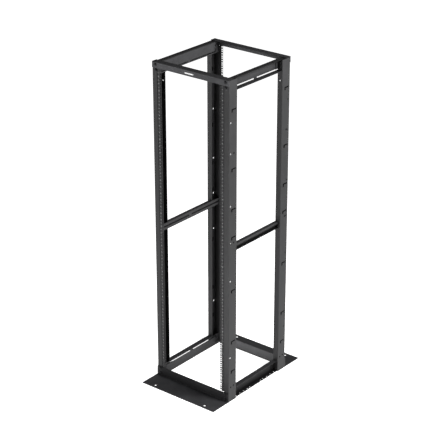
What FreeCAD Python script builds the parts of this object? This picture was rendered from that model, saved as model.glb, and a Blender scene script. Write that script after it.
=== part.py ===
# Four post open frame rack: folded sheet steel posts, square-hole mounting rails,
# headers, base angles, side beams and mid braces.
# Millimetres. +Z is up, the front faces -Y, and the origin is on the floor at the middle of the rack.
import FreeCAD
import Part
import Sketcher
import os
import re

SIZES = [
    # name, value, what it is
    ("rack_height", 2133.6, "floor to the top of the headers"),
    ("rack_width", 589, "across the outsides of the posts"),
    ("frame_depth", 589, "from the front of the front posts to the back of the rear posts"),
    ("post_side", 76.2, "depth of a post's side web"),
    ("post_return", 37, "width of a post's inner flange"),
    ("post_sheet", 2.7, "thickness of the posts' sheet"),
    ("post_bend", 3.5, "outside radius of the posts' bends"),
    ("rail_opening", 450, "clear width between left and right mounting rails"),
    ("rail_strip", 28, "width of the strip with the square holes"),
    ("rail_groove", 5, "gap between the strip and the post's outer flange"),
    ("rail_sheet", 2, "thickness of the mounting rails"),
    ("rail_clearance", 2, "from the edge of the rail's tab to the inside of the post's side web"),
    ("rail_start", 66.7, "height of the first rack unit above the floor"),
    ("rail_top_margin", 62, "least height from the last rack unit to the top of the rack"),
    ("unit_pitch", 44.45, "height of one rack unit"),
    ("hole_inset", 7.55, "from the strip's edge at the opening to the centres of its holes"),
    ("hole_side", 9.5, "side of a square hole"),
    ("hole_edge", 6.35, "from the edge of a unit to its first hole"),
    ("header_face", 38.1, "height of a header's vertical face"),
    ("header_flange", 38.1, "width of a header's top flange"),
    ("header_sheet", 2.7, "thickness of the headers"),
    ("base_plate", 152.4, "reach of a base angle beyond the posts"),
    ("base_upstand", 63.5, "height of a base angle's upright leg"),
    ("base_sheet", 4.8, "thickness of the base angles"),
    ("anchor_inset", 90, "from the end of a base angle to its nearest anchor hole"),
    ("anchor_edge", 25.4, "from the free edge of a base angle to its anchor holes"),
    ("anchor_hole", 17.5, "diameter of an anchor hole"),
    ("member_inset", 39.7, "from the outside of the posts to the inboard face of the side members"),
    ("member_sheet", 2.7, "thickness of the side beams and mid braces"),
    ("member_tab", 30, "reach of the tab at each end of a side beam or mid brace"),
    ("slot_bridge", 27, "metal left between the two slots of a side beam or mid brace"),
    ("slot_end", 38, "from the outside of a post's outer flange to the end of a slot"),
    ("beam_height", 76.2, "height of a side beam's web"),
    ("beam_flange", 33, "width of a side beam's flanges"),
    ("beam_slot_height", 8, "height of the long slots in a side beam"),
    ("beam_slot_edge", 10, "from the beam's edge to the middle of its slots"),
    ("flange_hole", 8, "side of the holes in a bottom beam's lower flange"),
    ("flange_hole_edge", 16, "from the outside of the posts to those holes"),
    ("flange_hole_first", 57, "from the middle of the beam to its first flange hole"),
    ("flange_hole_second", 80, "from the middle of the beam to its second flange hole"),
    ("flange_hole_third", 120, "from the middle of the beam to its third flange hole"),
    ("flange_hole_fourth", 158, "from the middle of the beam to its fourth flange hole"),
    ("flange_hole_fifth", 197, "from the middle of the beam to its fifth flange hole"),
    ("brace_height", 44.45, "height of a mid brace"),
    ("brace_rise", -22, "height of the middle of the mid braces above half the rack's height"),
    ("brace_flange", 23.7, "width of a mid brace's flanges"),
    ("brace_lip", 13, "height of the lip that hangs from a mid brace's upper flange"),
    ("brace_groove", 9, "height of the groove along a mid brace's web"),
    ("brace_groove_depth", 7, "depth of the groove along a mid brace's web"),
    ("cleat_leg", 25.4, "width of a corner cleat's legs"),
    ("cleat_sheet", 3, "thickness of a corner cleat"),
    ("cleat_height", 50, "height of a corner cleat"),
    ("hook_start", 22.5, "from the edge of a post's side web to its hook slots"),
    ("hook_leg", 10.5, "width of a hook slot's leg"),
    ("hook_reach", 41.5, "length of a hook slot's arm with its leg"),
    ("hook_drop", 22, "height of a hook slot's leg"),
    ("hook_arm", 8, "height of a hook slot's arm"),
    ("hook_first", 193, "from the top of the rack to the middle of the first hook slot"),
    ("hook_second", 566, "from the top of the rack to the middle of the second hook slot"),
    ("hook_third", 825, "from the top of the rack to the middle of the third hook slot"),
    ("hook_fourth", 80, "from the middle of the mid braces up to the fourth hook slot"),
    ("hook_fifth", 768, "height of the fifth hook slot"),
    ("hook_sixth", 415, "height of the sixth hook slot"),
    ("hook_seventh", 207, "height of the lowest hook slot"),
    ("tie_hole", 12, "diameter of the round holes in a post's side web"),
    ("tie_hole_edge", 16.5, "from the outside of a post's outer flange to its round holes"),
    ("tie_first", 266, "from the top of the rack to the first round hole"),
    ("tie_second", 460, "from the top of the rack to the second round hole"),
    ("tie_third", 795, "from the top of the rack to the third round hole"),
    ("tie_fourth", 50, "from the middle of the mid braces up to the fourth round hole"),
    ("tie_fifth", 842, "height of the fifth round hole"),
    ("tie_sixth", 311, "height of the lowest round hole"),
    ("return_hole", 9, "diameter of the hole in a post's inner flange"),
    ("return_hole_edge", 19, "from the outside of a post's side web to the hole in its inner flange"),
    ("return_hole_drop", 138, "from the top of the rack to the hole in the inner flange"),
]

NODES = {}

# Sizes that follow from the others.
POST_FACE = "(rack_width / 2 - rail_opening / 2 - rail_strip - rail_groove)"
UNIT_COUNT = "floor((rack_height - rail_start - rail_top_margin) / unit_pitch)"
BRACE_LEVEL = "(rack_height / 2 + brace_rise)"
MEMBER_WEB = "(rack_width / 2 - member_inset)"
MEMBER_END = "(frame_depth / 2 - post_sheet - rail_sheet)"
HOOK_LEVELS = [
    "rack_height - hook_first",
    "rack_height - hook_second",
    "rack_height - hook_third",
    BRACE_LEVEL + " + hook_fourth",
    "hook_fifth",
    "hook_sixth",
    "hook_seventh",
]
TIE_LEVELS = [
    "rack_height - tie_first",
    "rack_height - tie_second",
    "rack_height - tie_third",
    BRACE_LEVEL + " + tie_fourth",
    "tie_fifth",
    "tie_sixth",
]


def make_sheet(document):
    """Put every driving size in a cell of its own, with its name as the alias."""
    sheet = document.addObject("Spreadsheet::Sheet", "Sizes")
    for row, (name, value, meaning) in enumerate(SIZES, start=1):
        sheet.set(f"A{row}", name)
        sheet.set(f"B{row}", str(value))
        sheet.set(f"C{row}", meaning)
        sheet.setAlias(f"B{row}", name)
    document.recompute()
    return sheet


def formula(text):
    """Write a formula of size names as an expression on the sheet's cells, in millimetres."""
    for name, _, _ in SIZES:
        text = re.sub(rf"\b{name}\b", f"Sizes.{name}", text)
    return text


def size_of(item, text):
    """Value of a formula, as a plain number."""
    value = item.evalExpression(formula(text))
    return float(getattr(value, "Value", value))


def new_body(document, label):
    """Start a sub-part as a body whose label names its file."""
    body = document.addObject("PartDesign::Body", "Body_" + label)
    body.Label = label
    NODES[label] = body
    return body


def new_sketch(body, name, plane):
    """Add a sketch on one of the body's own origin planes."""
    sketch = body.newObject("Sketcher::SketchObject", name)
    origin_plane = next(f for f in body.Origin.OriginFeatures if f.Role == plane)
    sketch.AttachmentSupport = [(origin_plane, "")]
    sketch.MapMode = "FlatFace"
    return sketch


def tie_point(sketch, edge, end, place):
    """Hold one end of an edge at two formulas measured from the sketch's origin."""
    for kind, text in zip(("DistanceX", "DistanceY"), place):
        value = size_of(sketch, text)
        index = sketch.addConstraint(Sketcher.Constraint(kind, -1, 1, edge, end, value))
        sketch.setExpression(f"Constraints[{index}]", formula(text))


def add_outline(sketch, corners):
    """Draw a closed outline of straight lines whose corners are pairs of formulas."""
    places = [FreeCAD.Vector(size_of(sketch, x), size_of(sketch, y), 0) for x, y in corners]
    edges = [
        sketch.addGeometry(Part.LineSegment(start, end), False)
        for start, end in zip(places, places[1:] + places[:1])
    ]
    for edge, following in zip(edges, edges[1:] + edges[:1]):
        sketch.addConstraint(Sketcher.Constraint("Coincident", edge, 2, following, 1))
    for edge, corner in zip(edges, corners):
        tie_point(sketch, edge, 1, corner)


def add_circle(sketch, centre, diameter):
    """Draw a circle with a tied centre and a bound diameter."""
    middle = FreeCAD.Vector(size_of(sketch, centre[0]), size_of(sketch, centre[1]), 0)
    radius = size_of(sketch, diameter) / 2
    edge = sketch.addGeometry(Part.Circle(middle, FreeCAD.Vector(0, 0, 1), radius), False)
    tie_point(sketch, edge, 3, centre)
    index = sketch.addConstraint(Sketcher.Constraint("Diameter", edge, 2 * radius))
    sketch.setExpression(f"Constraints[{index}]", formula(diameter))


def add_hexagon(sketch, centre, width):
    """Draw a six-sided hole with a tied centre, as wide across its corners as a round one."""
    x, y = centre
    far, side_way = f"{width} / 2", f"{width} * 0.433013"
    around = [("0", f"-{far}"), (side_way, f"-{far} / 2"), (side_way, f"{far} / 2")]
    around += [("0", far), (f"-{side_way}", f"{far} / 2"), (f"-{side_way}", f"-{far} / 2")]
    add_outline(sketch, [(f"{x} + 1 * ({across})", f"{y} + 1 * ({along})") for across, along in around])


def add_rectangle(sketch, low, high):
    """Draw a rectangle between two tied corners."""
    add_outline(sketch, [low, (high[0], low[1]), high, (low[0], high[1])])


def add_pad(body, sketch, name, length, symmetric=False):
    """Pad a sketch by a formula, to one side or to both sides of its plane."""
    pad = body.newObject("PartDesign::Pad", name)
    pad.Profile = sketch
    pad.setExpression("Length", formula(length))
    pad.Midplane = symmetric
    body.Document.recompute()
    return pad


def add_pocket(body, sketch, name, length=None):
    """Cut a sketch through the body on both sides of its plane, or only through a length about it."""
    before = body.Shape.Volume
    pocket = body.newObject("PartDesign::Pocket", name)
    pocket.Profile = sketch
    pocket.Midplane = True
    if length:
        pocket.setExpression("Length", formula(length))
    else:
        pocket.Type = "ThroughAll"
    body.Document.recompute()
    if not body.Shape.Volume < before:
        raise RuntimeError(f"{body.Label}: {name} cuts nothing")
    return pocket


def add_pattern(body, feature, name, axis, length, count):
    """Repeat a feature along one of its sketch's axes and make the result the body's tip."""
    pattern = body.newObject("PartDesign::LinearPattern", name)
    pattern.Originals = [feature]
    pattern.Direction = (feature.Profile[0], [axis])
    pattern.setExpression("Length", formula(length))
    pattern.setExpression("Occurrences", formula(count))
    body.Tip = pattern
    body.Document.recompute()
    return pattern


def add_fillet(body, name, radius, wanted):
    """Round the edges for which wanted(edge) is true."""
    base = body.Tip
    edges = [f"Edge{i}" for i, edge in enumerate(base.Shape.Edges, start=1) if wanted(edge)]
    fillet = body.newObject("PartDesign::Fillet", name)
    fillet.Base = (base, edges)
    fillet.setExpression("Radius", formula(radius))
    body.Document.recompute()
    return fillet


def sided(sign, text):
    """The formula on the side of the rack that sign names."""
    return f"({text})" if sign > 0 else f"-({text})"


def make_post(document, label, side, end):
    """A folded channel that opens towards the middle of the rack: outer flange, side web, inner flange."""
    body = new_body(document, label)
    outer_x, inner_x = "rack_width / 2", "rack_width / 2 - post_sheet"
    outer_y, inner_y = "frame_depth / 2", "frame_depth / 2 - post_side"
    profile = [
        (f"rack_width / 2 - {POST_FACE}", outer_y),
        (outer_x, outer_y),
        (outer_x, inner_y),
        ("rack_width / 2 - post_return", inner_y),
        ("rack_width / 2 - post_return", inner_y + " + post_sheet"),
        (inner_x, inner_y + " + post_sheet"),
        (inner_x, outer_y + " - post_sheet"),
        (f"rack_width / 2 - {POST_FACE}", outer_y + " - post_sheet"),
    ]
    sketch = new_sketch(body, "Section_" + label, "XY_Plane")
    add_outline(sketch, [(sided(side, x), sided(end, y)) for x, y in profile])
    add_pad(body, sketch, "Channel_" + label, "rack_height - header_sheet - member_sheet")
    corner_x = side * size_of(sketch, outer_x)
    corners_y = [end * size_of(sketch, outer_y), end * size_of(sketch, inner_y)]

    def is_outer_bend(edge):
        at = edge.Vertexes[0].Point
        upright = all(abs(v.Point.x - at.x) + abs(v.Point.y - at.y) < 0.01 for v in edge.Vertexes)
        return upright and abs(at.x - corner_x) < 0.01 and min(abs(at.y - y) for y in corners_y) < 0.01

    add_fillet(body, "Bends_" + label, "post_bend", is_outer_bend)
    cut_hooks(body, label, side, end)
    cut_post_holes(body, label, side, end)
    return body


def cut_hooks(body, label, side, end):
    """Cut the hook slots: a leg with an arm at its top, the same way round on every outer side."""
    hooks = new_sketch(body, "Hooks_" + label, "YZ_Plane")
    start = "-frame_depth / 2" if side * end < 0 else "frame_depth / 2 - post_side"
    leg, far_leg = f"{start} + hook_start", f"{start} + hook_start + hook_leg"
    far_arm = f"{start} + hook_start + hook_reach"
    for level in HOOK_LEVELS:
        top, foot = f"{level} + hook_drop / 2", f"{level} - hook_drop / 2"
        under_arm = f"{top} - hook_arm"
        outline = [(leg, foot), (far_leg, foot), (far_leg, under_arm), (far_arm, under_arm)]
        outline += [(far_arm, top), (leg, top)]
        add_outline(hooks, [(sided(side, y), z) for y, z in outline])
    add_pocket(body, hooks, "HookSlots_" + label)


def cut_post_holes(body, label, side, end):
    """Cut the round holes in the side web and the hole in the inner flange."""
    ties = new_sketch(body, "Ties_" + label, "YZ_Plane")
    for level in TIE_LEVELS:
        add_hexagon(ties, (sided(end, "frame_depth / 2 - tie_hole_edge"), level), "tie_hole")
    add_pocket(body, ties, "TieHoles_" + label)
    returns = new_sketch(body, "Returns_" + label, "XZ_Plane")
    flange_y = sided(-end, "frame_depth / 2 - post_side + post_sheet / 2")
    returns.setExpression("AttachmentOffset.Base.z", formula(flange_y))
    hole_x = sided(side, "rack_width / 2 - return_hole_edge")
    add_hexagon(returns, (hole_x, "rack_height - return_hole_drop"), "return_hole")
    add_pocket(body, returns, "ReturnHole_" + label, "4 * post_sheet")


def make_rail(document, label, side, end):
    """A strip with square holes, stepped back at its outer edge to a tab behind the post's flange.

    The holes run on past the last whole unit to the header's lower edge.
    """
    body = new_body(document, label)
    face_y = "frame_depth / 2"
    edge_x = "rail_opening / 2"
    step_x = edge_x + " + rail_strip"
    tab_x = "rack_width / 2 - post_sheet - rail_clearance"
    profile = [
        (edge_x, face_y),
        (step_x, face_y),
        (step_x, face_y + " - post_sheet"),
        (tab_x, face_y + " - post_sheet"),
        (tab_x, face_y + " - post_sheet - rail_sheet"),
        (step_x + " - rail_sheet", face_y + " - post_sheet - rail_sheet"),
        (step_x + " - rail_sheet", face_y + " - rail_sheet"),
        (edge_x, face_y + " - rail_sheet"),
    ]
    sketch = new_sketch(body, "Section_" + label, "XY_Plane")
    add_outline(sketch, [(sided(side, x), sided(end, y)) for x, y in profile])
    sketch.setExpression("AttachmentOffset.Base.z", formula("rail_start"))
    add_pad(body, sketch, "Strip_" + label, "rack_height - header_face - rail_start")
    holes = new_sketch(body, "Holes_" + label, "XZ_Plane")
    centre_x = sided(side, edge_x + " + hole_inset")
    for level in ("hole_edge", "unit_pitch / 2", "unit_pitch - hole_edge"):
        centre_z = f"rail_start + {level}"
        add_rectangle(
            holes,
            (f"{centre_x} - hole_side / 2", f"{centre_z} - hole_side / 2"),
            (f"{centre_x} + hole_side / 2", f"{centre_z} + hole_side / 2"),
        )
    pocket = add_pocket(body, holes, "UnitHoles_" + label)
    add_pattern(body, pocket, "Units_" + label, "V_Axis", f"unit_pitch * {UNIT_COUNT}", f"{UNIT_COUNT} + 1")
    return body


def make_header(document, label, end):
    """An angle across the tops of two posts: a face over their outer flanges and a flange above them."""
    body = new_body(document, label)
    face_y = "frame_depth / 2"
    profile = [
        (face_y + " + header_sheet", "rack_height"),
        (face_y + " - header_flange", "rack_height"),
        (face_y + " - header_flange", "rack_height - header_sheet"),
        (face_y, "rack_height - header_sheet"),
        (face_y, "rack_height - header_face"),
        (face_y + " + header_sheet", "rack_height - header_face"),
    ]
    sketch = new_sketch(body, "Section_" + label, "YZ_Plane")
    add_outline(sketch, [(sided(end, y), z) for y, z in profile])
    add_pad(body, sketch, "Angle_" + label, "rack_width", symmetric=True)
    return body


def make_base_angle(document, label, end):
    """A heavy angle: its plate lies on the floor with two anchor holes, its upstand on the posts."""
    body = new_body(document, label)
    face_y = "frame_depth / 2"
    profile = [
        (face_y, "0 * base_sheet"),
        (face_y, "base_upstand"),
        (face_y + " + base_sheet", "base_upstand"),
        (face_y + " + base_sheet", "base_sheet"),
        (face_y + " + base_plate", "base_sheet"),
        (face_y + " + base_plate", "0 * base_sheet"),
    ]
    sketch = new_sketch(body, "Section_" + label, "YZ_Plane")
    add_outline(sketch, [(sided(end, y), z) for y, z in profile])
    add_pad(body, sketch, "Angle_" + label, "rack_width", symmetric=True)
    holes = new_sketch(body, "Anchors_" + label, "XY_Plane")
    anchor_y = sided(end, face_y + " + base_plate - anchor_edge")
    add_circle(holes, ("rack_width / 2 - anchor_inset", anchor_y), "anchor_hole")
    add_circle(holes, ("-(rack_width / 2 - anchor_inset)", anchor_y), "anchor_hole")
    add_pocket(body, holes, "AnchorHoles_" + label)
    return body


def add_tabs(body, label, side, low, high):
    """Turn both ends of a side member's web outward in tabs behind the rails."""
    for end, name in ((-1, "Front"), (1, "Rear")):
        tab = new_sketch(body, f"{name}Tab_{label}", "XZ_Plane")
        tab_y = sided(-end, MEMBER_END + " - member_sheet / 2")
        tab.setExpression("AttachmentOffset.Base.z", formula(tab_y))
        add_rectangle(tab, (sided(side, MEMBER_WEB), low), (sided(side, MEMBER_WEB + " + member_tab"), high))
        add_pad(body, tab, f"{name}TabPlate_{label}", "member_sheet", symmetric=True)


def make_beam(document, label, side, at_top):
    """A channel from a front to a rear post, web inboard and flanges outward, with two long slots.

    The web runs on past the posts' inner flanges, and a top beam's upper flange runs on over the posts.
    """
    body = new_body(document, label)
    low = "rack_height - header_sheet - beam_height" if at_top else "0 * beam_height"
    high = "rack_height - header_sheet" if at_top else "beam_height"
    outer_x = MEMBER_WEB + " + beam_flange"
    inner_x = MEMBER_WEB + " + member_sheet"
    profile = [
        (outer_x, high),
        (MEMBER_WEB, high),
        (MEMBER_WEB, low),
        (outer_x, low),
        (outer_x, f"{low} + member_sheet"),
        (inner_x, f"{low} + member_sheet"),
        (inner_x, f"{high} - member_sheet"),
        (outer_x, f"{high} - member_sheet"),
    ]
    sketch = new_sketch(body, "Section_" + label, "XZ_Plane")
    add_outline(sketch, [(sided(side, x), z) for x, z in profile])
    add_pad(body, sketch, "Channel_" + label, "frame_depth - 2 * post_side", symmetric=True)
    web = new_sketch(body, "Web_" + label, "XZ_Plane")
    add_rectangle(web, (sided(side, MEMBER_WEB), low), (sided(side, inner_x), high))
    add_pad(body, web, "WebPlate_" + label, f"2 * {MEMBER_END}", symmetric=True)
    if at_top:
        cap = new_sketch(body, "Cap_" + label, "XZ_Plane")
        add_rectangle(cap, (sided(side, MEMBER_WEB), f"{high} - member_sheet"), (sided(side, outer_x), high))
        add_pad(body, cap, "CapPlate_" + label, f"2 * {MEMBER_END}", symmetric=True)
    add_tabs(body, label, side, low, high)
    openings = new_sketch(body, "Slots_" + label, "YZ_Plane")
    slot_z = f"{low} + beam_slot_edge" if at_top else f"{high} - beam_slot_edge"
    near_y, far_y = "slot_bridge / 2", "frame_depth / 2 - slot_end"
    for end in (-1, 1):
        add_rectangle(
            openings,
            (sided(end, near_y), f"{slot_z} - beam_slot_height / 2"),
            (sided(end, far_y), f"{slot_z} + beam_slot_height / 2"),
        )
    add_pocket(body, openings, "WebSlots_" + label)
    if not at_top:
        cut_flange_holes(body, label, side)
    return body


def cut_flange_holes(body, label, side):
    """Cut the row of small square holes in a bottom beam's lower flange."""
    holes = new_sketch(body, "FlangeHoles_" + label, "XY_Plane")
    near_x = "rack_width / 2 - flange_hole_edge - flange_hole / 2"
    far_x = "rack_width / 2 - flange_hole_edge + flange_hole / 2"
    for name in ("first", "second", "third", "fourth", "fifth"):
        for end in (-1, 1):
            near_y = sided(end, f"flange_hole_{name} - flange_hole / 2")
            far_y = sided(end, f"flange_hole_{name} + flange_hole / 2")
            add_rectangle(holes, (sided(side, near_x), near_y), (sided(side, far_x), far_y))
    add_pocket(body, holes, "FlangeCuts_" + label, "4 * member_sheet")


def make_brace(document, label, side):
    """A channel from a front to a rear post at mid height: grooved web, lipped upper flange."""
    body = new_body(document, label)
    low, high = f"{BRACE_LEVEL} - brace_height / 2", f"{BRACE_LEVEL} + brace_height / 2"
    groove_low, groove_high = f"{BRACE_LEVEL} - brace_groove / 2", f"{BRACE_LEVEL} + brace_groove / 2"
    inner_x, outer_x = MEMBER_WEB + " + member_sheet", MEMBER_WEB + " + brace_flange"
    floor_x = MEMBER_WEB + " + brace_groove_depth"
    profile = [
        (MEMBER_WEB, high),
        (MEMBER_WEB, groove_high),
        (floor_x, groove_high),
        (floor_x, groove_low),
        (MEMBER_WEB, groove_low),
        (MEMBER_WEB, low),
        (inner_x, low),
        (inner_x, groove_low + " - member_sheet"),
        (floor_x + " + member_sheet", groove_low + " - member_sheet"),
        (floor_x + " + member_sheet", groove_high + " + member_sheet"),
        (inner_x, groove_high + " + member_sheet"),
        (inner_x, high),
    ]
    sketch = new_sketch(body, "Section_" + label, "XZ_Plane")
    add_outline(sketch, [(sided(side, x), z) for x, z in profile])
    add_pad(body, sketch, "Web_" + label, f"2 * {MEMBER_END}", symmetric=True)
    lipped = [
        (MEMBER_WEB, high),
        (outer_x, high),
        (outer_x, f"{high} - brace_lip"),
        (outer_x + " - member_sheet", f"{high} - brace_lip"),
        (outer_x + " - member_sheet", f"{high} - member_sheet"),
        (MEMBER_WEB, f"{high} - member_sheet"),
    ]
    upper = new_sketch(body, "Upper_" + label, "XZ_Plane")
    add_outline(upper, [(sided(side, x), z) for x, z in lipped])
    add_pad(body, upper, "UpperFlange_" + label, "frame_depth - 2 * post_side", symmetric=True)
    lower = new_sketch(body, "Lower_" + label, "XZ_Plane")
    add_rectangle(lower, (sided(side, MEMBER_WEB), low), (sided(side, outer_x), f"{low} + member_sheet"))
    add_pad(body, lower, "LowerFlange_" + label, "frame_depth - 2 * post_side", symmetric=True)
    bridge = new_sketch(body, "Bridge_" + label, "XZ_Plane")
    add_rectangle(bridge, (sided(side, MEMBER_WEB), groove_low), (sided(side, floor_x), groove_high))
    add_pad(body, bridge, "BridgePlate_" + label, "slot_bridge", symmetric=True)
    add_tabs(body, label, side, low, high)
    return body


def make_cleat(document, label, side, end, middle):
    """An angle in a corner between a beam's web and a post's inner flange."""
    body = new_body(document, label)
    web_x = MEMBER_WEB + " + member_sheet"
    flange_y = "frame_depth / 2 - post_side"
    profile = [
        (web_x, flange_y),
        (web_x, f"{flange_y} - cleat_leg"),
        (f"{web_x} + cleat_sheet", f"{flange_y} - cleat_leg"),
        (f"{web_x} + cleat_sheet", f"{flange_y} - cleat_sheet"),
        (f"{web_x} + cleat_leg", f"{flange_y} - cleat_sheet"),
        (f"{web_x} + cleat_leg", flange_y),
    ]
    sketch = new_sketch(body, "Section_" + label, "XY_Plane")
    add_outline(sketch, [(sided(side, x), sided(end, y)) for x, y in profile])
    sketch.setExpression("AttachmentOffset.Base.z", formula(f"{middle} - cleat_height / 2"))
    add_pad(body, sketch, "Angle_" + label, "cleat_height")
    return body


def build_rack(document):
    """Make every sub-part of the rack."""
    make_sheet(document)
    for side, side_name in ((-1, "left"), (1, "right")):
        for end, end_name in ((-1, "front"), (1, "rear")):
            make_post(document, f"{end_name}_{side_name}_post", side, end)
            make_rail(document, f"{end_name}_{side_name}_rail", side, end)
            top_middle = "rack_height - header_sheet - beam_height / 2"
            make_cleat(document, f"{end_name}_{side_name}_top_cleat", side, end, top_middle)
            make_cleat(document, f"{end_name}_{side_name}_foot_cleat", side, end, "beam_height / 2")
        make_beam(document, f"{side_name}_top_beam", side, True)
        make_beam(document, f"{side_name}_bottom_beam", side, False)
        make_brace(document, f"{side_name}_mid_brace", side)
    for end, end_name in ((-1, "front"), (1, "rear")):
        make_header(document, f"{end_name}_header", end)
        make_base_angle(document, f"{end_name}_base_angle", end)
    document.recompute()


def check_document(document):
    """Stop if any object failed or any sub-part is empty or not valid."""
    for item in document.Objects:
        if "Invalid" in item.State or "Error" in item.State:
            raise RuntimeError(f"{item.Label} failed: {item.State}")
    for label, item in NODES.items():
        if item.Shape.isNull() or not item.Shape.isValid():
            raise RuntimeError(f"{label} has no valid shape")


def write_parts():
    """Write each sub-part to its own STEP file."""
    os.makedirs("parts", exist_ok=True)
    for label, item in NODES.items():
        item.Shape.exportStep(f"parts/{label}.step")


rack = FreeCAD.newDocument("four_post_rack")
build_rack(rack)
check_document(rack)
write_parts()
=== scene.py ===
import math

import bpy
import numpy as np
from bpy.props import FloatProperty, FloatVectorProperty, IntProperty, PointerProperty
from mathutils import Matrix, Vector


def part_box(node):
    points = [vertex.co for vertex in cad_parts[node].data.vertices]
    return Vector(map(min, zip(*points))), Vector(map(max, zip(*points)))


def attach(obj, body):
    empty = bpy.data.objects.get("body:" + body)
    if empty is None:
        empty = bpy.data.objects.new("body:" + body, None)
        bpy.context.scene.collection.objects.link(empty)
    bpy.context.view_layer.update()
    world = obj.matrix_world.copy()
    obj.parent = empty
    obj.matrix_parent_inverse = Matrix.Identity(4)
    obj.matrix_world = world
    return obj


bl_info = {
    "name": "Four post open frame rack",
    "version": (1, 0, 0),
    "blender": (4, 5, 0),
    "location": "3D View > Sidebar > Rack",
    "description": "Bolts, unit numbers, finishes and a studio for a four post equipment rack",
    "category": "Object",
}

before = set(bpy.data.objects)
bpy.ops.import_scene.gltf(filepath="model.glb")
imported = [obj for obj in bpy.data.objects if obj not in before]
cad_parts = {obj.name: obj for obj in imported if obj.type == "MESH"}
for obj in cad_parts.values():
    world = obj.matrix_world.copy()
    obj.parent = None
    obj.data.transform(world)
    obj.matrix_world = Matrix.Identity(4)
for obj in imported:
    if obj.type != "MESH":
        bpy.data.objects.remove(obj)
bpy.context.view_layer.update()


def node_box(node):
    """The low and the high corner of a node's box, in metres."""
    return [np.array(corner, float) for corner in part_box(node)]


# Places on the rack, in metres, read from the boxes of its sheet metal nodes.
POST = node_box("front_right_post")
RAIL = node_box("front_right_rail")
HEADER = node_box("front_header")
TOP_BEAM = node_box("right_top_beam")
BRACE = node_box("right_mid_brace")
HALF_WIDTH = POST[1][0]
HALF_DEPTH = -POST[0][1]
INNER_FLANGE_Y = -POST[1][1]
TOP = HEADER[1][2]
FRONT_OF_HEADER = -HEADER[0][1]

# Sizes of the sheet metal that no box gives.
BASE_SHEET = 0.0048
SHEET = 0.0027
HOLE_INSET = 0.0075  # from a rail's edge at the opening to the middles of its holes
HALF_HOLE = 0.00475  # half the side of a square hole
STRIP_INSET = 0.0415  # from the side of the rack to the outer edge of a rail's strip
HOOKS_BELOW_TOP = (0.193, 0.566, 0.825)
HOOK_OVER_BRACE = 0.080
HOOKS_OVER_FLOOR = (0.768, 0.415, 0.207)

# Bolts and screws: drops from the top of the rack, and levels over the floor.
HEADER_BOLT_DROP, POST_BOLT_DROP = 0.0165, 0.051
BASE_BOLT_LEVELS = (0.054, 0.021)
BEAM_BOLT_DROPS, BEAM_BOLT_LEVELS = (0.030, 0.058), (0.022, 0.052)
WEB_SCREWS = ((0.022, 0.101), (0.049, 0.105), (0.046, 1.6736), (0.046, 1.0948))  # inset, level
CATCH_INSET = 0.0432  # from the edge of a post's side web to the middle of a catch plate

# Each family of sheet metal: the coat's name, how many times the plain coat's colour it is, what is
# added to the roughness, the gloss, and the painted grade by height. A factor of 1 and no grade is the plain
# coat. The other factors and the grades are painted light and shade that stand in for uneven light: the
# header's face paler and its top darker, the beams paler with darker tops, the rear base angle's upstand
# paler than its plate and the front one's upstand darker. So set them all to 1, with no grades, for one
# coat on every piece.
COATS = {
    "post": ("post powder coat", 1.0, 0.0, 0.3, None),
    "rail": ("rail powder coat", 1.0, 0.03, 0.3, None),
    "header": ("header coat with painted light and shade", 4.2, 0.1, 0.08, (TOP - 0.005, TOP - 0.002, 1.0, 0.27)),
    "angle": ("rear base angle coat with painted light and shade", 1.7, 0.02, 0.4, (0.004, 0.012, 0.75, 2.4)),
    "front": ("front base angle coat with painted light and shade", None, 0.06, 0.12, (0.004, 0.012, 1.4, 0.42)),
    "beam": ("beam coat with painted light and shade", 1.7, 0.0, 0.18, (TOP - 0.01, TOP - 0.006, 1.0, 0.15)),
    "brace": ("brace powder coat", 1.0, 0.0, 0.3, None),
    "cleat": ("cleat powder coat", 1.0, 0.05, 0.3, None),
}

# Each lamp: its name, place, target, size in metres and power in watts.
LAMPS = (
    ("key_softbox", (2.0, 0.3, 3.3), (0.3, 0.1, 1.9), 0.9, 125.0),
    ("side_softbox", (2.6, 0.3, 2.6), (0.3, 0.3, 1.7), 1.0, 12.0),
    ("front_foot_softbox", (0.4, -2.4, 0.3), (0.1, -0.3, 0.3), 0.8, 34.0),
    ("front_softbox", (-1.9, -2.2, 2.4), (-0.2, -0.3, 2.1), 0.7, 17.0),
    ("corner_softbox", (-4, -4, 1), (0, 0, 0.3), 1.5, 8.0),
)
CAMERA_PLACE = (5.4871, -6.7879, 4.9149)
CAMERA_PITCH, CAMERA_TURN = 66.205, 38.954


# ---------------------------------------------------------------- meshes


def put_mesh(name, vertices, faces, material, smooth=True):
    """Put whole arrays of vertices and faces into a new mesh object at the origin."""
    mesh = bpy.data.meshes.new(name)
    vertices = np.asarray(vertices, np.float32).reshape(-1, 3)
    faces = np.asarray(faces, np.int32)
    corners = faces.shape[1]
    mesh.vertices.add(len(vertices))
    mesh.vertices.foreach_set("co", vertices.ravel())
    mesh.loops.add(faces.size)
    mesh.loops.foreach_set("vertex_index", faces.ravel())
    mesh.polygons.add(len(faces))
    mesh.polygons.foreach_set("loop_start", np.arange(0, faces.size, corners, dtype=np.int32))
    mesh.polygons.foreach_set("use_smooth", np.full(len(faces), smooth))
    mesh.update(calc_edges=True)
    mesh.validate()
    mesh.materials.append(material)
    thing = bpy.data.objects.new(name, mesh)
    bpy.context.scene.collection.objects.link(thing)
    return thing


def grid_faces(rows, columns, wrap_columns=False):
    """Quads of a grid of rows by columns, its last column joined to the first if it wraps."""
    across = np.arange(columns if wrap_columns else columns - 1)
    along = np.arange(rows - 1)[:, None]
    following = (across + 1) % columns
    start = along * columns
    quads = [start + across, start + following, start + columns + following, start + columns + across]
    return np.stack(np.broadcast_arrays(*quads), axis=-1).reshape(-1, 4)


def repeat_grid(faces, count, size):
    """The same faces for each of several copies that have size vertices each."""
    return (faces[None] + (np.arange(count) * size)[:, None, None]).reshape(-1, faces.shape[1])


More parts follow.
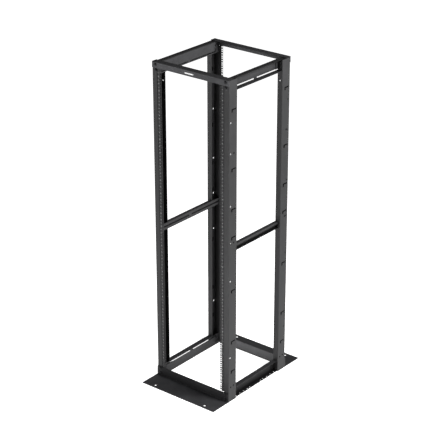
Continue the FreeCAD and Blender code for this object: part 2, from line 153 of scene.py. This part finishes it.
def facing_frames(axes):
    """Three perpendicular directions for each axis: two across it and the axis itself.

    The first is the cross product of a helper, upright unless the axis is, and the axis. The
    second is the cross product of the axis and the first.
    """
    axes = np.asarray(axes, float)
    axes = axes / np.linalg.norm(axes, axis=1, keepdims=True)
    helper = np.where(np.abs(axes[:, 2:3]) < 0.9, [[0.0, 0.0, 1.0]], [[1.0, 0.0, 0.0]])
    first = np.cross(helper, axes)
    first /= np.linalg.norm(first, axis=1, keepdims=True)
    second = np.cross(axes, first)
    return np.stack([first, second, axes], axis=1)


def hexagon_radius(angle, flat):
    """Radius of a hexagon at an angle: half its flats over the cosine of the turn from the nearest flat."""
    turn = (angle + math.pi / 6) % (math.pi / 3) - math.pi / 6
    return flat / 2 / np.cos(turn)


def rounded_outline(points, power, half_wide, half_high):
    """Angles round a rounded rectangle, and its distances across and up from its middle at each.

    A point's distance across is half the width times the cosine to a power, and its distance up is
    half the height times the sine to the same power, each with its sign kept.
    """
    angle = np.linspace(0, 2 * math.pi, points, endpoint=False)
    across = np.sign(np.cos(angle)) * np.abs(np.cos(angle)) ** power * half_wide
    up = np.sign(np.sin(angle)) * np.abs(np.sin(angle)) ** power * half_high
    return angle, across, up


def hex_heads(name, places, axes, material, flat=0.013, head=0.0055, washer=0.0095, lift=0.0016):
    """Hexagon heads on round washers.

    Each is a grid of stations by angles. A station holds a radius and a height over the sheet: the
    washer's stations use a plain circle, the head's sides use the hexagon's radius, the chamfer uses
    the smaller of the hexagon and a circle, and the last stations shrink to the middle of the top.
    """
    sunk, bevel, closed = 0.0004, 0.0005, 0.00001
    side_of_washer, side_of_head, chamfer = 0.72, 0.78, 0.93
    chamfer_circle, rim_of_top, middle_of_top = 1.04, 0.9, 0.3
    angles = np.linspace(0, 2 * math.pi, 24, endpoint=False)
    hexagon = hexagon_radius(angles, flat)
    circle = np.ones_like(angles)
    rings = [
        (washer * circle, -sunk),
        (washer * circle, lift * side_of_washer),
        ((washer - bevel) * circle, lift),
        (hexagon, lift),
        (hexagon, lift + head * side_of_head),
        (np.minimum(hexagon, flat / 2 * chamfer_circle), lift + head * chamfer),
        (flat / 2 * rim_of_top * circle, lift + head),
        (flat / 2 * middle_of_top * circle, lift + head),
        (closed * circle, lift + head),
    ]
    radii = np.array([ring for ring, _ in rings])
    heights = np.array([height for _, height in rings])
    local = np.stack(
        [radii * np.cos(angles), radii * np.sin(angles), np.repeat(heights[:, None], len(angles), 1)], axis=-1
    )
    frames = facing_frames(axes)
    world = np.einsum("rak,nkj->nraj", local, frames) + np.asarray(places, float)[:, None, None, :]
    faces = grid_faces(len(rings), len(angles), wrap_columns=True)
    faces = repeat_grid(faces, len(frames), len(rings) * len(angles))
    return put_mesh(name, world, faces, material, smooth=False)


# ---------------------------------------------------------------- finishes


def new_material(name):
    """An empty node material with its output, and a helper that adds nodes."""
    material = bpy.data.materials.new(name)
    material.use_nodes = True
    nodes = material.node_tree.nodes
    nodes.clear()
    output = nodes.new("ShaderNodeOutputMaterial")
    return material, nodes, material.node_tree.links, output


def two_tones(nodes, low, high, spread=(0.0, 1.0)):
    """A ramp from the low colour to the high one between two positions, and flat beyond them."""
    tint = nodes.new("ShaderNodeValToRGB")
    for index, colour in enumerate((low, high)):
        tint.color_ramp.elements[index].position = spread[index]
        tint.color_ramp.elements[index].color = (*colour, 1)
    return tint


def powder_coat(name, dark, light, roughness, fold_shade=0.1, gloss=0.3, painted_grade=None):
    """Satin powder coat over folded sheet.

    Broad faint mottling of the colour, a fine orange peel in the bump, softened edges, and painted
    shade in the folds, where little light reaches. The colour is the mottled tone times the share of
    open sky, read so that a deep fold comes down to the fold shade value and an open face stays whole.
    A painted grade is painted light and shade by height, four numbers: between its first two heights
    over the floor the factor on the colour goes evenly from its third number to its fourth, and beyond
    them it stays as it is.
    """
    material, nodes, links, output = new_material(name)
    shader = nodes.new("ShaderNodeBsdfPrincipled")
    place = nodes.new("ShaderNodeTexCoord")
    mottle = nodes.new("ShaderNodeTexNoise")
    mottle.inputs["Scale"].default_value = 9.0
    mottle.inputs["Detail"].default_value = 6.0
    mottle.inputs["Roughness"].default_value = 0.62
    tint = two_tones(nodes, dark, light, (0.32, 0.72))
    # Painted shade: ambient occlusion darkens the colour in folds and hollows, down to the fold shade value.
    hollow = nodes.new("ShaderNodeAmbientOcclusion")
    hollow.samples = 8
    hollow.inputs["Distance"].default_value = 0.09
    depth = nodes.new("ShaderNodeMapRange")
    depth.inputs["From Min"].default_value = 0.35
    depth.inputs["From Max"].default_value = 0.78
    depth.inputs["To Min"].default_value = fold_shade
    depth.inputs["To Max"].default_value = 1.0
    shade = nodes.new("ShaderNodeMix")
    shade.data_type = "RGBA"
    shade.blend_type = "MULTIPLY"
    shade.inputs["Factor"].default_value = 1.0
    tone = depth
    # Painted light and shade by height: the grade multiplies the colour.
    if painted_grade:
        height = nodes.new("ShaderNodeSeparateXYZ")
        rise = nodes.new("ShaderNodeMapRange")
        for socket, value in zip(("From Min", "From Max", "To Min", "To Max"), painted_grade):
            rise.inputs[socket].default_value = value
        both = nodes.new("ShaderNodeMath")
        both.operation = "MULTIPLY"
        tone = both
        links.new(place.outputs["Object"], height.inputs["Vector"])
        links.new(height.outputs["Z"], rise.inputs["Value"])
        links.new(rise.outputs["Result"], both.inputs[0])
        links.new(depth.outputs["Result"], both.inputs[1])
    peel = nodes.new("ShaderNodeTexNoise")
    peel.inputs["Scale"].default_value = 620.0
    peel.inputs["Detail"].default_value = 2.0
    rub = nodes.new("ShaderNodeMapRange")
    rub.inputs["To Min"].default_value = roughness - 0.05
    rub.inputs["To Max"].default_value = roughness + 0.06
    edge = nodes.new("ShaderNodeBevel")
    edge.samples = 4
    edge.inputs["Radius"].default_value = 0.0012
    bump = nodes.new("ShaderNodeBump")
    bump.inputs["Strength"].default_value = 0.22
    bump.inputs["Distance"].default_value = 0.0004
    links.new(place.outputs["Object"], mottle.inputs["Vector"])
    links.new(place.outputs["Object"], peel.inputs["Vector"])
    links.new(mottle.outputs["Fac"], tint.inputs["Fac"])
    links.new(hollow.outputs["AO"], depth.inputs["Value"])
    links.new(tint.outputs["Color"], shade.inputs[6])
    links.new(tone.outputs[0], shade.inputs[7])
    links.new(shade.outputs[2], shader.inputs["Base Color"])
    links.new(mottle.outputs["Fac"], rub.inputs["Value"])
    links.new(rub.outputs["Result"], shader.inputs["Roughness"])
    links.new(peel.outputs["Fac"], bump.inputs["Height"])
    links.new(edge.outputs["Normal"], bump.inputs["Normal"])
    links.new(bump.outputs["Normal"], shader.inputs["Normal"])
    shader.inputs["Specular IOR Level"].default_value = gloss
    links.new(shader.outputs["BSDF"], output.inputs["Surface"])
    return material


def plated_steel(name, colour, roughness):
    """Dark plated steel of the bolts: metal with fine turning marks in its roughness."""
    material, nodes, links, output = new_material(name)
    shader = nodes.new("ShaderNodeBsdfPrincipled")
    place = nodes.new("ShaderNodeTexCoord")
    grain = nodes.new("ShaderNodeTexNoise")
    grain.inputs["Scale"].default_value = 260.0
    grain.inputs["Detail"].default_value = 4.0
    rub = nodes.new("ShaderNodeMapRange")
    rub.inputs["To Min"].default_value = roughness - 0.08
    rub.inputs["To Max"].default_value = roughness + 0.1
    tint = two_tones(nodes, [channel * 0.8 for channel in colour], colour)
    links.new(place.outputs["Object"], grain.inputs["Vector"])
    links.new(grain.outputs["Fac"], rub.inputs["Value"])
    links.new(grain.outputs["Fac"], tint.inputs["Fac"])
    links.new(tint.outputs["Color"], shader.inputs["Base Color"])
    links.new(rub.outputs["Result"], shader.inputs["Roughness"])
    shader.inputs["Metallic"].default_value = 0.85
    links.new(shader.outputs["BSDF"], output.inputs["Surface"])
    return material


def printed_ink(name, colour):
    """Matt screen printed ink, a little uneven where it crosses the powder coat's peel."""
    material, nodes, links, output = new_material(name)
    shader = nodes.new("ShaderNodeBsdfPrincipled")
    place = nodes.new("ShaderNodeTexCoord")
    wear = nodes.new("ShaderNodeTexNoise")
    wear.inputs["Scale"].default_value = 900.0
    tint = two_tones(nodes, [channel * 0.72 for channel in colour], colour, (0.25, 0.55))
    links.new(place.outputs["Object"], wear.inputs["Vector"])
    links.new(wear.outputs["Fac"], tint.inputs["Fac"])
    links.new(tint.outputs["Color"], shader.inputs["Base Color"])
    shader.inputs["Roughness"].default_value = 0.6
    links.new(shader.outputs["BSDF"], output.inputs["Surface"])
    return material


def studio_floor(name, brightness):
    """Pale floor with a little light of its own, so that it stays even under a soft sky."""
    material, nodes, links, output = new_material(name)
    shader = nodes.new("ShaderNodeBsdfPrincipled")
    place = nodes.new("ShaderNodeTexCoord")
    cloud = nodes.new("ShaderNodeTexNoise")
    cloud.inputs["Scale"].default_value = 1.4
    tint = two_tones(nodes, (0.86, 0.86, 0.86), (0.9, 0.9, 0.9))
    links.new(place.outputs["Object"], cloud.inputs["Vector"])
    links.new(cloud.outputs["Fac"], tint.inputs["Fac"])
    links.new(tint.outputs["Color"], shader.inputs["Base Color"])
    shader.inputs["Roughness"].default_value = 0.9
    shader.inputs["Specular IOR Level"].default_value = 0.0
    shader.inputs["Emission Color"].default_value = (1, 1, 1, 1)
    shader.inputs["Emission Strength"].default_value = brightness
    links.new(shader.outputs["BSDF"], output.inputs["Surface"])
    return material


def finish_node(node, material):
    """Give a sheet metal node one material on all its faces."""
    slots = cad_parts[node].data.materials
    slots.clear()
    slots.append(material)


# ---------------------------------------------------------------- settings


class RackFinish(bpy.types.PropertyGroup):
    """Colours and gloss of the rack's finishes."""

    coat_dark: FloatVectorProperty(
        name="Coat, dark",
        description="Darker tone of the powder coat",
        subtype="COLOR",
        size=3,
        min=0,
        max=1,
        default=(0.0120, 0.0120, 0.0127),
    )
    coat_light: FloatVectorProperty(
        name="Coat, light",
        description="Lighter tone of the powder coat",
        subtype="COLOR",
        size=3,
        min=0,
        max=1,
        default=(0.0178, 0.0178, 0.0187),
    )
    coat_roughness: FloatProperty(
        name="Coat roughness", description="Roughness of the satin powder coat", default=0.5, min=0, max=1
    )
    # Painted light and shade: with its grade this factor makes the front base angle's plate paler and its upstand
    # darker than the plain coat.
    front_base_painted_light: FloatProperty(
        name="Front base tone",
        description="How many times the plain coat's colour the front base angle's colour is",
        default=2.2,
        min=0,
        max=4,
    )
    ink: FloatVectorProperty(
        name="Ink",
        description="Colour of the printed unit numbers",
        subtype="COLOR",
        size=3,
        min=0,
        max=1,
        default=(0.3, 0.3, 0.3),
    )


class RackHardware(bpy.types.PropertyGroup):
    """Sizes of the bolts and places of the printed numbers."""

    bolt_flats: FloatProperty(
        name="Bolt flats",
        description="Across the flats of a hexagon head",
        default=0.014,
        min=0.005,
        max=0.03,
        unit="LENGTH",
    )
    bolt_inset: FloatProperty(
        name="Bolt inset",
        description="From the end of a header or base angle to its bolts",
        default=0.0265,
        min=0.01,
        max=0.06,
        unit="LENGTH",
    )
    number_height: FloatProperty(
        name="Number height",
        description="Height of the unit numbers",
        default=0.0068,
        min=0.002,
        max=0.02,
        unit="LENGTH",
    )
    unit_pitch: FloatProperty(
        name="Unit pitch",
        description="Height of one rack unit",
        default=0.04445,
        min=0.01,
        max=0.1,
        unit="LENGTH",
    )
    unit_count: IntProperty(name="Units", description="Rack units on a rail", default=45, min=1, max=60)

    def hook_levels(self):
        """Heights of the hook slots: three from the top, one above the mid brace, three from the floor."""
        brace = (BRACE[0][2] + BRACE[1][2]) / 2
        return [*(TOP - drop for drop in HOOKS_BELOW_TOP), brace + HOOK_OVER_BRACE, *HOOKS_OVER_FLOOR]


class RackStudio(bpy.types.PropertyGroup):
    """Floor, sky, lights and camera."""

    horizon: FloatProperty(
        name="Horizon light", description="Brightness of the sky at eye level", default=1.0, min=0, max=10
    )
    zenith: FloatProperty(
        name="Overhead light", description="Brightness of the sky overhead", default=0.07, min=0, max=10
    )
    floor_glow: FloatProperty(
        name="Floor glow", description="The floor's own light", default=1.0, min=0, max=10
    )
    lens: FloatProperty(
        name="Lens", description="Focal length in millimetres", default=123.564, min=10, max=500
    )


# ---------------------------------------------------------------- operators


class RACK_OT_sheet_metal(bpy.types.Operator):
    """Coat the posts, rails, headers, angles, beams, braces and cleats."""

    bl_idname = "rack.sheet_metal"
    bl_label = "Coat the sheet metal"

    def execute(self, context):
        finish = context.scene.rack_finish
        coats = {}
        for family, (name, times, rougher, gloss, painted_grade) in COATS.items():
            times = finish.front_base_painted_light if times is None else times
            dark = tuple(times * channel for channel in finish.coat_dark)
            light = tuple(times * channel for channel in finish.coat_light)
            coats[family] = powder_coat(
                name, dark, light, finish.coat_roughness + rougher, gloss=gloss, painted_grade=painted_grade
            )
        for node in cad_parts:
            finish_node(node, coats[node.split("_")[-1]])
        finish_node("front_base_angle", coats["front"])
        return {"FINISHED"}


class RACK_OT_end_bolts(bpy.types.Operator):
    """Add the bolts at the ends of the headers and the base angles."""

    bl_idname = "rack.end_bolts"
    bl_label = "Add header and base bolts"

    def execute(self, context):
        hardware = context.scene.rack_hardware
        steel = plated_steel("blackened bolts", (0.025, 0.025, 0.027), 0.5)
        for end, name in ((-1, "front"), (1, "rear")):
            places, axes = [], []
            for side in (-1, 1):
                x = side * (HALF_WIDTH - hardware.bolt_inset)
                places.append((x, end * FRONT_OF_HEADER, TOP - HEADER_BOLT_DROP))
                places.append((x, end * HALF_DEPTH, TOP - POST_BOLT_DROP))
                places += [(x, end * (HALF_DEPTH + BASE_SHEET), level) for level in BASE_BOLT_LEVELS]
                axes += [(0, end, 0)] * 4
            bolts = hex_heads(f"{name}_end_bolts", places, axes, steel, flat=hardware.bolt_flats)
            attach(bolts, "root")
        return {"FINISHED"}


class RACK_OT_cleat_bolts(bpy.types.Operator):
    """Add the bolts that hold the side beams and mid braces to the posts' inner flanges."""

    bl_idname = "rack.cleat_bolts"
    bl_label = "Add beam and brace bolts"

    def execute(self, context):
        steel = plated_steel("blackened beam bolts", (0.03, 0.03, 0.032), 0.5)
        levels = [*(TOP - drop for drop in BEAM_BOLT_DROPS), *BEAM_BOLT_LEVELS]
        places, axes = [], []
        for side in (-1, 1):
            for end in (-1, 1):
                y = end * (HALF_DEPTH + INNER_FLANGE_Y) / 2
                places += [(side * TOP_BEAM[0][0], y, level) for level in levels]
                axes += [(-side, 0, 0)] * len(levels)
        bolts = hex_heads("beam_bolts", places, axes, steel, flat=0.011, head=0.004, washer=0.0078)
        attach(bolts, "root")
        return {"FINISHED"}


class RACK_OT_hook_catches(bpy.types.Operator):
    """Add the dark catch plates behind the posts' hook slots, and the screws on the side webs.

    Both are guesses, and neither is in the sheet metal. Both are near-black painted shade: the plates keep the
    slots dark from outside.
    """

    bl_idname = "rack.hook_catches"
    bl_label = "Add hook catches"

    def execute(self, context):
        hardware = context.scene.rack_hardware
        # Painted shade: the catch plates are near-black, far darker than the coat, to stand in for the shade
        # inside the slots.
        dark = powder_coat("catch plates in painted shade", (0.001, 0.001, 0.001), (0.002, 0.002, 0.002), 0.8, gloss=0.04)
        # Screws guessed at small dark marks on the webs; their near-black colour, darker than the coat, is painted
        # shade.
        screws = powder_coat("web screws in painted shade", (0.001, 0.001, 0.001), (0.002, 0.002, 0.002), 0.7, gloss=0.05)
        for side, side_name in ((-1, "left"), (1, "right")):
            for end, end_name in ((-1, "front"), (1, "rear")):
                edge = -HALF_DEPTH if side * end < 0 else INNER_FLANGE_Y
                centres = [(side * (edge + CATCH_INSET), level) for level in hardware.hook_levels()]
                plates = self.plates(f"{end_name}_{side_name}_hook_catches", centres, side, dark)
                places = [(side * HALF_WIDTH, side * (edge + inset), level) for inset, level in WEB_SCREWS]
                heads = hex_heads(
                    f"{end_name}_{side_name}_web_screws",
                    places,
                    [(side, 0, 0)] * len(places),
                    screws,
                    flat=0.009,
                    head=0.00004,
                    washer=0.006,
                    lift=0.00006,
                )
                for piece in (plates, heads):
                    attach(piece, "root")
        return {"FINISHED"}

    def plates(self, name, centres, side, material):
        """Rounded plates against the inside of a side web, each a stack of rings.

        A ring is the plate's rounded outline times the ring's share. The rings step from the web
        to the plate's face and close in to its middle.
        """
        points, power, half_long, half_high = 40, 0.4, 0.0245, 0.0145
        angle, across, up = rounded_outline(points, power, half_long, half_high)
        share = np.array([1.0, 1.0, 0.97, 0.5, 0.0005])[:, None]
        out = np.array([0.0, 0.0011, 0.0015, 0.0015, 0.0015])[:, None] + 0 * angle
        wall = HALF_WIDTH - SHEET
        corners = [
            np.stack([side * (wall - out), y - side * share * across, z + share * up], axis=-1)
            for y, z in centres
        ]
        ring_faces = grid_faces(len(share), points, wrap_columns=True)
        faces = repeat_grid(ring_faces, len(centres), len(share) * points)
        return put_mesh(name, np.array(corners), faces, material)


class RACK_OT_unit_numbers(bpy.types.Operator):
    """Print the unit numbers and the lines between units on the mounting rails."""

    bl_idname = "rack.unit_numbers"
    bl_label = "Print the unit numbers"

    def execute(self, context):
        hardware = context.scene.rack_hardware
        ink = printed_ink("printed ink", tuple(context.scene.rack_finish.ink))
        column = (RAIL[0][0] + HOLE_INSET + HALF_HOLE + HALF_WIDTH - STRIP_INSET) / 2
        for end, end_name in ((-1, "front"), (1, "rear")):
            for side, side_name in ((-1, "left"), (1, "right")):
                corners, faces = self.numbers(hardware, side, end, column)
                marks = put_mesh(f"{end_name}_{side_name}_unit_numbers", corners, faces, ink, smooth=False)
                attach(marks, "root")
        return {"FINISHED"}

    def numbers(self, hardware, side, end, column):
        """Flat strokes just proud of the rail: seven segments a digit, and a line at each unit's edge.

        A digit is a set of segments, each a rectangle between two corners of a two by three
        lattice, widened by half a stroke on every side. The lattice is scaled to the number's
        height and set side by side about the column.
        """
        lit = ["abcdef", "bc", "abged", "abgcd", "fgbc", "afgcd", "afgedc", "abc", "abcdefg", "abcdfg"]
        segments = {
            "a": (0, 2, 1, 2),
            "b": (1, 1, 1, 2),
            "c": (1, 0, 1, 1),
            "d": (0, 0, 1, 0),
            "e": (0, 0, 0, 1),
            "f": (0, 1, 0, 2),
            "g": (0, 1, 1, 1),
        }
        line, half_line, proud = 0.0011, 0.0062, 0.00012
        high, stroke = hardware.number_height, hardware.number_height * 0.15
        wide, step = high * 0.46, high * 0.78
        boxes = []
        for unit in range(hardware.unit_count):
            middle = RAIL[0][2] + (unit + 0.5) * hardware.unit_pitch
            digits = str(unit + 1)
            for index, digit in enumerate(digits):
                left = (index - (len(digits) - 1) / 2) * step - wide / 2
                for key in lit[int(digit)]:
                    x0, z0, x1, z1 = segments[key]
                    boxes.append(
                        (
                            left + x0 * wide - stroke / 2,
                            middle + (z0 / 2 - 0.5) * high - stroke / 2,
                            left + x1 * wide + stroke / 2,
                            middle + (z1 / 2 - 0.5) * high + stroke / 2,
                        )
                    )
        edges = RAIL[0][2] + np.arange(hardware.unit_count + 1) * hardware.unit_pitch
        boxes += [
            (-half_line, max(z - line / 2, RAIL[0][2]), half_line, min(z + line / 2, RAIL[1][2])) for z in edges
        ]
        boxes = np.array(boxes)
        across = boxes[:, [0, 2, 2, 0]] * -end + side * column
        up = boxes[:, [1, 1, 3, 3]]
        face = np.full_like(across, end * (HALF_DEPTH + proud))
        corners = np.stack([across, face, up], axis=-1)
        faces = np.arange(len(boxes) * 4).reshape(-1, 4)
        return corners, faces


class RACK_OT_name_plate(bpy.types.Operator):
    """Fix a bare plate to the face of the front header."""

    bl_idname = "rack.name_plate"
    bl_label = "Add the bare plate"

    def execute(self, context):
        plate = self.plate(middle=(-0.0055, TOP - 0.0217), wide=0.066, high=0.0085, thick=0.0006)
        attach(plate, "root")
        return {"FINISHED"}

    def plate(self, middle, wide, high, thick):
        """A rounded plate, sunk a little in the header: rings that step out and close in a flat face.

        A ring is the plate's rounded outline times the ring's share.
        """
        points, power, sunk = 48, 0.35, 0.0003
        angle, across, up = rounded_outline(points, power, wide / 2, high / 2)
        share = np.array([1.0, 1.0, 0.985, 0.9, 0.5, 0.0005])[:, None]
        out = np.array([-sunk, thick * 0.7, thick, thick, thick, thick])[:, None] + 0 * angle
        corners = np.stack([middle[0] + share * across, -FRONT_OF_HEADER - out, middle[1] + share * up], axis=-1)
        faces = grid_faces(len(share), points, wrap_columns=True)
        return put_mesh("bare_plate", corners, faces, printed_ink("pale plate", (0.8, 0.8, 0.8)))


class RACK_OT_studio(bpy.types.Operator):
    """Lay the floor, light it softly and set the camera."""

    bl_idname = "rack.studio"
    bl_label = "Set up the studio"

    def execute(self, context):
        studio = context.scene.rack_studio
        half_side, lines, level = 30, 7, -0.0006
        across = np.linspace(-half_side, half_side, lines)
        x, y = np.meshgrid(across, across)
        corners = np.stack([x, y, np.full_like(x, level)], axis=-1)
        floor = put_mesh("floor", corners, grid_faces(lines, lines), studio_floor("pale floor", studio.floor_glow))
        self.sky(studio)
        for lamp in LAMPS:
            self.lamp(*lamp)
        self.camera(studio)
        context.scene.view_settings.view_transform = "Standard"
        context.scene.view_settings.look = "None"
        return {"FINISHED"}

    def sky(self, studio):
        """A white room: the horizon's strength up to a low angle, then a smooth step to the zenith's."""
        world = bpy.data.worlds.new("studio sky")
        bpy.context.scene.world = world
        world.use_nodes = True
        nodes, links = world.node_tree.nodes, world.node_tree.links
        nodes.clear()
        output = nodes.new("ShaderNodeOutputWorld")
        background = nodes.new("ShaderNodeBackground")
        background.inputs["Color"].default_value = (1, 1, 1, 1)
        place = nodes.new("ShaderNodeTexCoord")
        split = nodes.new("ShaderNodeSeparateXYZ")
        ramp = nodes.new("ShaderNodeMapRange")
        ramp.interpolation_type = "SMOOTHSTEP"
        ramp.inputs["From Min"].default_value = 0.03
        ramp.inputs["From Max"].default_value = 0.28
        ramp.inputs["To Min"].default_value = studio.horizon
        ramp.inputs["To Max"].default_value = studio.zenith
        links.new(place.outputs["Generated"], split.inputs["Vector"])
        links.new(split.outputs["Z"], ramp.inputs["Value"])
        links.new(ramp.outputs["Result"], background.inputs["Strength"])
        links.new(background.outputs["Background"], output.inputs["Surface"])

    def lamp(self, name, place, target, size, power):
        """A square soft light at a place, turned to a target and itself unseen.

        Its pitch from straight down has the level distance to the target over the drop to it as
        tangent, and its turn is the target's bearing.
        """
        data = bpy.data.lights.new(name, "AREA")
        data.size = size
        data.energy = power
        lamp = bpy.data.objects.new(name, data)
        turn = np.array(target, float) - np.array(place, float)
        pitch = math.atan2(math.hypot(turn[0], turn[1]), -turn[2])
        lamp.location = place
        lamp.visible_camera = False
        lamp.rotation_euler = (pitch, 0, math.atan2(-turn[0], turn[1]))
        bpy.context.scene.collection.objects.link(lamp)

    def camera(self, studio):
        """A long lens a little above the rack's top, to the right of its front."""
        data = bpy.data.cameras.new("camera")
        data.sensor_width = 36
        data.lens = studio.lens
        data.clip_end = 200
        camera = bpy.data.objects.new("camera", data)
        camera.location = CAMERA_PLACE
        camera.rotation_euler = (math.radians(CAMERA_PITCH), 0, math.radians(CAMERA_TURN))
        bpy.context.scene.collection.objects.link(camera)
        bpy.context.scene.camera = camera


class RACK_PT_panel(bpy.types.Panel):
    """Shows the rack's settings and the operators that make its pieces in the sidebar."""

    bl_idname = "RACK_PT_panel"
    bl_label = "Rack"
    bl_space_type = "VIEW_3D"
    bl_region_type = "UI"
    bl_category = "Rack"

    def draw(self, context):
        layout = self.layout
        for group in ("rack_finish", "rack_hardware", "rack_studio"):
            box = layout.box()
            settings = getattr(context.scene, group)
            for name in settings.__annotations__:
                box.prop(settings, name)
        for operator in OPERATORS:
            layout.operator(operator.bl_idname)


OPERATORS = (
    RACK_OT_sheet_metal,
    RACK_OT_end_bolts,
    RACK_OT_cleat_bolts,
    RACK_OT_hook_catches,
    RACK_OT_unit_numbers,
    RACK_OT_name_plate,
    RACK_OT_studio,
)
CLASSES = (RackFinish, RackHardware, RackStudio, *OPERATORS, RACK_PT_panel)


def register():
    for item in CLASSES:
        bpy.utils.register_class(item)
    bpy.types.Scene.rack_finish = PointerProperty(type=RackFinish)
    bpy.types.Scene.rack_hardware = PointerProperty(type=RackHardware)
    bpy.types.Scene.rack_studio = PointerProperty(type=RackStudio)


def unregister():
    del bpy.types.Scene.rack_studio
    del bpy.types.Scene.rack_hardware
    del bpy.types.Scene.rack_finish
    for item in reversed(CLASSES):
        bpy.utils.unregister_class(item)


def main():
    """Make every piece in order."""
    register()
    bpy.ops.rack.sheet_metal()
    bpy.ops.rack.end_bolts()
    bpy.ops.rack.cleat_bolts()
    bpy.ops.rack.hook_catches()
    bpy.ops.rack.unit_numbers()
    bpy.ops.rack.name_plate()
    bpy.ops.rack.studio()


if __name__ == "__main__":
    main()
